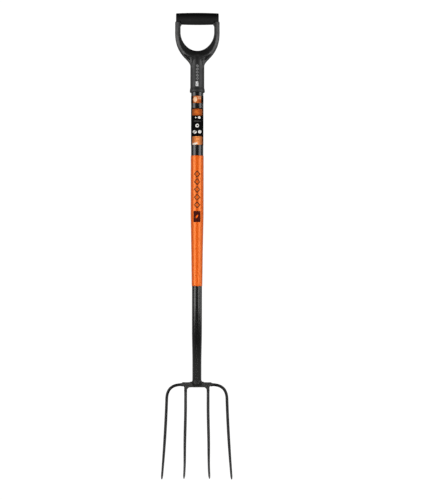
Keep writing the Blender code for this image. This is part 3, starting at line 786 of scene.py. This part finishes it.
def yoke_half():
    """Right half of the yoke's front outline, from the top middle to the bottom middle."""
    stub_out, stub_in = INNER_TINE_X + TINE_RADIUS, INNER_TINE_X - TINE_RADIUS
    under_outer = OUTER_ROOT[1] - TINE_RADIUS
    inner_fillet, outer_fillet = 0.0085, 0.0032
    top = [(0.0, YOKE_TOP + SEAT_RISE), (0.0175, YOKE_TOP + SEAT_RISE), (0.0205, YOKE_TOP)]
    end = [(YOKE_HALF_LENGTH, YOKE_TOP), (YOKE_HALF_LENGTH, under_outer)]
    outer = arc((stub_out + outer_fillet, under_outer - outer_fillet), outer_fillet, 90, 180, 6)
    inner = arc((stub_in - inner_fillet, YOKE_BOTTOM - inner_fillet), inner_fillet, 0, 90, 12)
    stub = [(stub_out, STUB_BOTTOM), (stub_in, STUB_BOTTOM)]
    return top + end + outer + stub + inner[1:] + [(0.0, YOKE_BOTTOM)]


def yoke():
    """The forged crossbar, with soft edges and an uneven skin."""
    half = yoke_half()
    outline = half + [(-x, z) for x, z in reversed(half) if x > 0]
    bar = prism("forged_yoke", outline, YOKE_Y - YOKE_DEPTH / 2, YOKE_Y + YOKE_DEPTH / 2)
    moulded(bar, 0.0006, 6)
    roughened(bar, 0.00030, 0.010, 3)
    place(bar, FORGED, "forged_steel", "head_yoke")


def oval(centre, across, along, half_across, half_along, power=2.0, sides=48):
    """A ring of points on a rounded oval, square-cornered as the power grows."""
    ring = []
    for step in range(sides):
        angle = 2 * math.pi * step / sides
        c, s = math.cos(angle), math.sin(angle)
        u = math.copysign(abs(c) ** (2 / power), c) * half_across
        v = math.copysign(abs(s) ** (2 / power), s) * half_along
        ring.append(centre + u * across + v * along)
    return ring


def tine_weld(name, start, direction, across, root, seed):
    """Weld metal that swells at the yoke and thins onto the tine."""
    rings = []
    for share in spaced(0.0, 1.0, 22):
        grow = (1 - share) ** 1.5
        half_across = TINE_RADIUS + (root[0] - TINE_RADIUS) * grow
        half_depth = TINE_RADIUS + (root[1] - TINE_RADIUS) * grow
        centre = start + direction * WELD_LENGTH * share
        rings.append(oval(centre, across, Y_AXIS, half_across, half_depth, 2.0 + grow))
    place(roughened(loft("bead_" + name, rings), 0.0004, 0.0022, seed), WELD, "forged_steel", name)


def tine_welds():
    """The weld at each tine's root."""
    for side, word in ((-1, "left"), (1, "right")):
        start = Vector((side * (YOKE_HALF_LENGTH - WELD_INSET), YOKE_Y, OUTER_ROOT[1]))
        tine_weld("weld_outer_" + word, start, side * X_AXIS, Z_AXIS, OUTER_WELD_ROOT, side)
        start = Vector((side * INNER_TINE_X, YOKE_Y, STUB_BOTTOM + WELD_INSET))
        tine_weld("weld_inner_" + word, start, -Z_AXIS, X_AXIS, INNER_WELD_ROOT, 2 * side)


def neck_weld():
    """The flared weld around the tube's foot, with lumps in front and behind."""
    axis = Vector((0.0, -math.sin(CRANK_ANGLE), math.cos(CRANK_ANGLE)))
    forward = axis.cross(X_AXIS)
    heights, half_widths, half_depths = zip(*reversed(NECK_WELD_PROFILE))
    rings = []
    for z in spaced(heights[-1], heights[0], 60):
        half_x, half_y = (float(np.interp(z, heights, halves)) for halves in (half_widths, half_depths))
        rings.append(oval(Vector((0.0, neck_y(z), z)), X_AXIS, forward, half_x, half_y, sides=96))
    lumps = [loft("bead", rings)]
    for x, side, z, size in NECK_WELD_LUMPS:
        middle = Vector((x, neck_y(z) + side * LUMP_Y, z))
        ball = []
        for a in spaced(0.1, math.pi - 0.1, 14):
            radius = size * math.sin(a)
            ball.append(oval(middle + Z_AXIS * size * math.cos(a), X_AXIS, Y_AXIS, radius, radius, sides=24))
        lumps.append(loft("lump", ball))
    bead = moulded(merged("bead_neck_weld", lumps), 0.0005, 4)
    place(roughened(bead, 0.0005, 0.0050, 7), WELD, "forged_steel", "neck_weld")


# ------------------------ handle
def frame_outside():
    """Right-hand outside of the frame below the arm, as (x, z) from the knee to the foot."""
    knee, flank = (ARM_OUTER_X, ARM_TOP - 0.032), (0.0348, 1.1493)
    side = bezier(knee, (ARM_OUTER_X, 1.1880), (0.0525, 1.1675), flank, 24)
    waist = bezier(flank, (0.0275, 1.1418), (SOCKET_RADIUS, 1.1355), (0.0185, 1.1240), 16)
    return [knee, *side, *waist, (0.0180, 1.1190), (0.0, 1.1190)]


def frame_stations():
    """Inner and outer point, crest, depth and falls at stations from the saddle's middle up one arm."""
    def polar(points):
        turns = [math.atan2(z - OPENING_CENTRE_Z, x) for x, z in points]
        return turns, [math.hypot(x, z - OPENING_CENTRE_Z) for x, z in points]

    crest_line = [
        (0.0, 1.1560), (0.0100, 1.1535), (0.0160, 1.1530), (0.0210, 1.1548), (0.0300, 1.1590),
        (0.0395, 1.1680), (0.0455, 1.1800), (0.0485, 1.1950), (0.0495, OPENING_CENTRE_Z),
    ]
    outside, crests = polar(frame_outside()[::-1]), polar(crest_line)
    stations = []
    for turn in spaced(-math.pi / 2, 0.0, 61):
        c, s = math.cos(turn), math.sin(turn)
        near = 1 / math.hypot(c / OPENING_HALF_WIDTH, s / OPENING_DROP)
        reach, crest = float(np.interp(turn, *outside)), float(np.interp(turn, *crests))
        inner = (near * c, OPENING_CENTRE_Z + near * s)
        outer = (reach * c, OPENING_CENTRE_Z + reach * s)
        saddle = eased(blend(-math.degrees(turn), 20, 75))
        depth = ARM_HALF_DEPTH + SADDLE_SWELL * saddle
        falls = (0.16 + 0.64 * saddle ** 2, 0.46 - 0.16 * saddle)
        stations.append((inner, outer, crest - near, depth, falls))
    for z in spaced(OPENING_CENTRE_Z, ARM_TOP, 14)[1:]:
        inner, outer = (OPENING_HALF_WIDTH, z), (ARM_OUTER_X, z)
        stations.append((inner, outer, 0.0040, ARM_HALF_DEPTH, (0.16, 0.46)))
    return stations


def frame_ring(side, inner, outer, crest, depth, falls):
    """One section of the frame: a soft crest in front and behind that falls to both edges."""
    inner, outer = Vector((side * inner[0], 0, inner[1])), Vector((side * outer[0], 0, outer[1]))
    width = (outer - inner).length
    direction = (outer - inner) / width
    front, back = [], []
    for step in range(37):
        reach = width * (1 - math.cos(math.pi * step / 36)) / 2
        if reach < crest:
            fall = falls[0] * (1 - reach / crest) ** (1.1 + falls[0] / 2)
        else:
            fall = falls[1] * ((reach - crest) / (width - crest)) ** 1.1
        edge = min(reach, width - reach) / FRAME_EDGE
        half = depth * (1 - fall) * math.sqrt(max(1 - (1 - min(edge, 1.0)) ** 2, 0.0))
        front.append(inner + direction * reach - half * Y_AXIS)
        back.append(inner + direction * reach + half * Y_AXIS)
    return front + back[-2:0:-1]


def frame_body():
    """The U of saddle and arms."""
    stations = frame_stations()
    rings = [frame_ring(-1, *station) for station in reversed(stations[1:])]
    rings += [frame_ring(1, *station) for station in stations]
    return loft("u_body", rings)


def socket_body():
    """The socket with its collar, and the round stem that dies into the saddle."""
    dome = [(SOCKET_RADIUS * math.sin(a), SOCKET_TOP + (STEM_TOP - SOCKET_TOP) * math.cos(a))
            for a in spaced(0.08, math.pi / 2, 16)]
    collar = [
        (SOCKET_RADIUS, COLLAR_TOP), (COLLAR_RADIUS - 0.0004, COLLAR_TOP - 0.0050),
        (COLLAR_RADIUS, COLLAR_TOP - 0.0065), (COLLAR_RADIUS, COLLAR_BOTTOM + 0.0010),
        (COLLAR_RADIUS - 0.0010, COLLAR_BOTTOM),
    ]
    return turned("socket_body", dome + collar, 96)


def corner_fillet(side):
    """The web that rounds the opening's upper corner under the grip."""
    inside, outside = OPENING_HALF_WIDTH - FILLET_RADIUS, OPENING_HALF_WIDTH + 0.004
    top = GRIP_Z - GRIP_RADIUS + 0.0008
    bottom = top - FILLET_RADIUS
    curve = arc((inside, bottom), FILLET_RADIUS, 0, 90, 8)
    outline = [(side * x, z) for x, z in [*curve, (outside, top), (outside, bottom)]]
    return prism("corner_fillet", outline, -FILLET_HALF_DEPTH, FILLET_HALF_DEPTH)


def pocket(side, front):
    """A triangular hollow between the stem and the frame's rim."""
    outline = [(side * x, z) for x, z in POCKET_CORNERS]
    depths = (-0.03, -POCKET_FLOOR) if front else (POCKET_FLOOR, 0.03)
    return prism("pocket", outline, *depths)


def handle_frame():
    """The moulded D frame, duller at its socket, with pale print on the front."""
    core = rod("core", (-CORE_HALF_LENGTH, 0, GRIP_Z), (CORE_HALF_LENGTH, 0, GRIP_Z), CORE_RADIUS)
    pieces = [frame_body(), socket_body(), corner_fillet(-1), corner_fillet(1), core]
    body = merged("moulded_d_frame", pieces)
    moulded(body, FIRST_VOXEL, 4)
    for side in (-1, 1):
        cut(body, pocket(side, True))
        cut(body, pocket(side, False))
    cut(body, rod("bore", (0, 0, COLLAR_BOTTOM - 0.01), (0, 0, TUBE_TOP + GAP), TUBE_RADIUS + GAP, 96))
    moulded(body, LAST_VOXEL, 5)
    dark, light = (0.013, 0.013, 0.013), (0.017, 0.017, 0.0167)
    plastic, tone, dull, grain = moulded_plastic("handle_plastic", dark, light, 0.38, 0.80)
    socket = plastic.spread(plastic.axis("Z"), 1.0, 0.0, 1.120, 1.145)
    dull = plastic.math("ADD", dull, plastic.math("MULTIPLY", socket, SOCKET_DULLER))
    emblem = plastic.block(plastic.flat(), (-0.0045, 1.0695), (0.0030, 1.0825), 0.0016)
    slit = plastic.stroke(plastic.flat(), (-0.0032, 1.0725), (0.0018, 1.0795), 0.0011)
    emblem = plastic.both(emblem, plastic.front(), plastic.math("SUBTRACT", 1.0, slit))
    marks = plastic.diamonds(*HANDLE_DIAMONDS, 5, 0.0038, 0.0016)
    tone = plastic.mix(marks, tone, (0.26, 0.26, 0.26))
    tone = plastic.mix(emblem, tone, (0.74, 0.74, 0.74))
    place(body, plastic.surface(tone, dull, grain), "black_plastic", "d_handle")


def grip():
    """The soft grip: a barrel hollow for the core and open below for the arms."""
    end, corner = GRIP_HALF_LENGTH, GRIP_CORNER
    profile = []
    for a in spaced(0.0, math.pi / 2, 7):
        profile.append((GRIP_END_RADIUS - corner + corner * math.sin(a), end - corner + corner * math.cos(a)))
    for x in spaced(end - corner, corner - end, 61)[1:-1]:
        profile.append((GRIP_RADIUS - (GRIP_RADIUS - GRIP_END_RADIUS) * (x / end) ** 2, x))
    profile += [(radius, -x) for radius, x in profile[6::-1]]
    barrel = turned("soft_grip_barrel", profile, 96)
    barrel.data.transform(Matrix.Rotation(math.pi / 2, 4, "Y"))
    barrel.data.transform(Matrix.Translation((0, 0, GRIP_Z)))
    reach = CORE_HALF_LENGTH + GAP
    cut(barrel, rod("core_space", (-reach, 0, GRIP_Z), (reach, 0, GRIP_Z), CORE_RADIUS + GAP))
    for side in (-1, 1):
        near, far, below = OPENING_HALF_WIDTH - GAP, 0.07, 1.23
        outline = [(side * near, below), (side * far, below), (side * far, ARM_TOP), (side * near, ARM_TOP)]
        cut(barrel, prism("arm_space", outline, -0.02, 0.02))
    barrel.data.set_sharp_from_angle(angle=math.radians(50))
    dark, light = (0.014, 0.014, 0.014), (0.019, 0.019, 0.019)
    rubber, tone, dull, grain = moulded_plastic("grip_rubber", dark, light, 0.60, 0.12)
    # Painted shade: above the grip's middle the rubber is painted darker (0.004 to 0.007), where less light
    # falls on its top.
    unshaded_lower_grip = rubber.spread(rubber.axis("Z"), 1.0, 0.0, GRIP_Z - 0.006, GRIP_Z + 0.008)
    painted_top_shade = rubber.mix(rubber.noise(0.030), (0.004, 0.004, 0.004), (0.007, 0.007, 0.007))
    tone = rubber.mix(unshaded_lower_grip, painted_top_shade, tone)
    place(barrel, rubber.surface(tone, dull, grain), "soft_grip", "grip_overmould")


def screws():
    """Pan-head screws with a cross recess, at the back of the socket."""
    for node in SCREW_NODES:
        low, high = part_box(node)
        z, radius, top = (low[2] + high[2]) / 2, (high[2] - low[2]) / 2, high[1]
        shank, seat = 0.0018, top - 0.0022
        profile = [(0.0008, top), (radius * 0.55, top - 0.0002), (radius * 0.85, top - 0.0008),
                   (radius, top - 0.0016), (radius, seat), (shank, seat),
                   (shank, low[1] + 0.003), (0.0002, low[1])]
        screw = turned("plated_" + node, profile, 48)
        screw.data.transform(Matrix.Rotation(-math.pi / 2, 4, "X"))
        screw.data.transform(Matrix.Translation((0, 0, z)))
        for wide, tall in ((0.0020, 0.0005), (0.0005, 0.0020)):
            outline = [(-wide, z - tall), (wide, z - tall), (wide, z + tall), (-wide, z + tall)]
            cut(screw, prism("recess", outline, top - 0.0012, top + 0.001))
        screw.data.set_sharp_from_angle(angle=math.radians(30))
        place(screw, ZINC, "zinc_steel", node)


# ------------------------ hidden pieces
def hidden_nodes():
    """The spigot and the plug keep their CAD meshes."""
    for node, material in (("neck_spigot", BARE), ("shaft_plug", WOOD)):
        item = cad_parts[node]
        item.data.materials.clear()
        item.data.materials.append(material)


# ------------------------ studio
def world_light():
    """White to the camera; to the object a dark room with a glow at each side of the backdrop."""
    world = bpy.data.worlds.new("studio")
    bpy.context.scene.world = world
    world.use_nodes = True
    tree = world.node_tree
    tree.nodes.clear()

    def mapped(source, limits, low, high):
        node = tree.nodes.new("ShaderNodeMapRange")
        node.interpolation_type = "SMOOTHSTEP"
        for socket, value in zip(node.inputs[1:5], (*limits, low, high)):
            socket.default_value = value
        tree.links.new(source, node.inputs[0])
        return node.outputs[0]

    def combined(operation, first, second):
        node = tree.nodes.new("ShaderNodeMath")
        node.operation = operation
        for source, socket in zip((first, second), node.inputs):
            if isinstance(source, float):
                socket.default_value = source
            else:
                tree.links.new(source, socket)
        return node.outputs[0]

    direction = tree.nodes.new("ShaderNodeTexCoord").outputs["Generated"]
    split = tree.nodes.new("ShaderNodeSeparateXYZ")
    tree.links.new(direction, split.inputs[0])
    sides = combined("MULTIPLY", mapped(split.outputs["Y"], (0.15, 0.60), 0.0, 1.0),
                     mapped(split.outputs["Y"], (0.70, 0.97), 1.0, 0.10))
    level = combined("MULTIPLY", mapped(split.outputs["Z"], (0.20, 0.55), 1.0, 0.0),
                     mapped(split.outputs["Z"], (-0.60, -0.25), 0.2, 1.0))
    glow = combined("MULTIPLY", combined("MULTIPLY", sides, level), GLOW)
    room, white = (tree.nodes.new("ShaderNodeBackground") for _ in range(2))
    tree.links.new(combined("ADD", glow, DARK_ROOM), room.inputs["Strength"])
    white.inputs["Strength"].default_value = WHITE
    path = tree.nodes.new("ShaderNodeLightPath")
    mix = tree.nodes.new("ShaderNodeMixShader")
    tree.links.new(path.outputs["Is Camera Ray"], mix.inputs[0])
    tree.links.new(room.outputs[0], mix.inputs[1])
    tree.links.new(white.outputs[0], mix.inputs[2])
    out = tree.nodes.new("ShaderNodeOutputWorld")
    tree.links.new(mix.outputs[0], out.inputs["Surface"])
    room.inputs["Color"].default_value = white.inputs["Color"].default_value = (1.0, 1.0, 1.0, 1.0)


def softbox(name, spot, target, width, length, power):
    """A rectangular lamp that faces a point."""
    lamp = bpy.data.lights.new(name, "AREA")
    lamp.shape = "RECTANGLE"
    lamp.size, lamp.size_y, lamp.energy = width, length, power
    item = bpy.data.objects.new(name, lamp)
    bpy.context.scene.collection.objects.link(item)
    item.location = spot
    item.rotation_euler = (Vector(target) - Vector(spot)).to_track_quat("-Z", "Z").to_euler()
    return item


def lamps():
    """Lamps at the sides that draw the streaks of light, and fills below and behind without a reflection."""
    for name, angle, height, width, length, power in SIDE_LAMPS:
        turn = math.radians(angle)
        spot = (LAMP_DISTANCE * math.sin(turn), -LAMP_DISTANCE * math.cos(turn), height)
        softbox(name, spot, (0, 0, height), width, length, power)
    for name, spot, power in FILL_LAMPS:
        softbox(name, spot, FILL_TARGET, *FILL_SIZE, power).visible_glossy = False


def floor():
    """A white floor just under the tips."""
    shape = bmesh.new()
    bmesh.ops.create_grid(shape, x_segments=1, y_segments=1, size=4.0)
    item = add("studio_floor", mesh_from(shape, "studio_floor"))
    item.location.z = cad_box[0][2] - 0.003
    ground = bpy.data.materials.new("studio_white")
    ground.use_nodes = True
    shader = ground.node_tree.nodes["Principled BSDF"]
    shader.inputs["Base Color"].default_value = (0.0, 0.0, 0.0, 1.0)
    shader.inputs["Specular IOR Level"].default_value = 0.0
    shader.inputs["Emission Color"].default_value = (1.0, 1.0, 1.0, 1.0)
    shader.inputs["Emission Strength"].default_value = WHITE
    item.data.materials.append(ground)
    item.visible_glossy = item.visible_diffuse = item.visible_shadow = False


def camera():
    """Level with the middle of the fork, far enough away to flatten it, and rolled very slightly."""
    eye = bpy.data.cameras.new("camera")
    item = bpy.data.objects.new("camera", eye)
    bpy.context.scene.collection.objects.link(item)
    eye.sensor_fit = "VERTICAL"
    eye.sensor_height = 36.0
    eye.lens = eye.sensor_height * CAMERA_DISTANCE / VIEW_HEIGHT
    eye.shift_x = CAMERA_SHIFT
    item.location = (0.0, -CAMERA_DISTANCE, CAMERA_HEIGHT)
    item.rotation_euler = (math.pi / 2, CAMERA_ROLL, 0.0)
    bpy.context.scene.camera = item


camera()
world_light()
lamps()
floor()
bpy.context.scene.view_settings.view_transform = "Standard"

shaft_tube()
sleeve()
label()
yoke()
tines()
tine_welds()
neck_weld()
handle_frame()
grip()
screws()
hidden_nodes()
